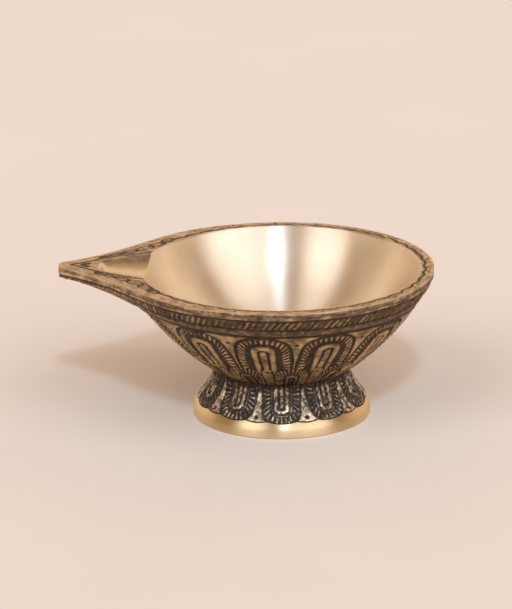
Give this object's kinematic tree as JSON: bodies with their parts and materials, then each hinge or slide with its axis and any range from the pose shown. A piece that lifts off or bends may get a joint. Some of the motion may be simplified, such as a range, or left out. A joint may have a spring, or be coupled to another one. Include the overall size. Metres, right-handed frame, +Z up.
{
  "type": "oil lamp",
  "caption": "Footed brass diya oil lamp: a polished round bowl with a pointed wick spout, antiqued relief outside, on a flared hollow foot.",
  "frame": {"origin": "centre of the foot's bottom face, on the axis of the round bowl", "axes": "+Z up, out of the bowl's mouth; the wick spout points along -X; +Y to the far side when the spout is on the left"},
  "size_m": [0.1105, 0.09, 0.0445],
  "materials": {
    "antique_brass": "antiqued relief outside with a dark patina, polished and lathe-turned inside",
    "antique_brass_foot": "antiqued relief with a dark patina over a polished base ring",
    "turned_brass": "plain machined brass"
  },
  "bodies": {
    "root": {"bowl": "antique_brass", "foot": "antique_brass_foot", "stud": "turned_brass", "washer": "turned_brass", "nut": "turned_brass"}
  },
  "joints": []
}
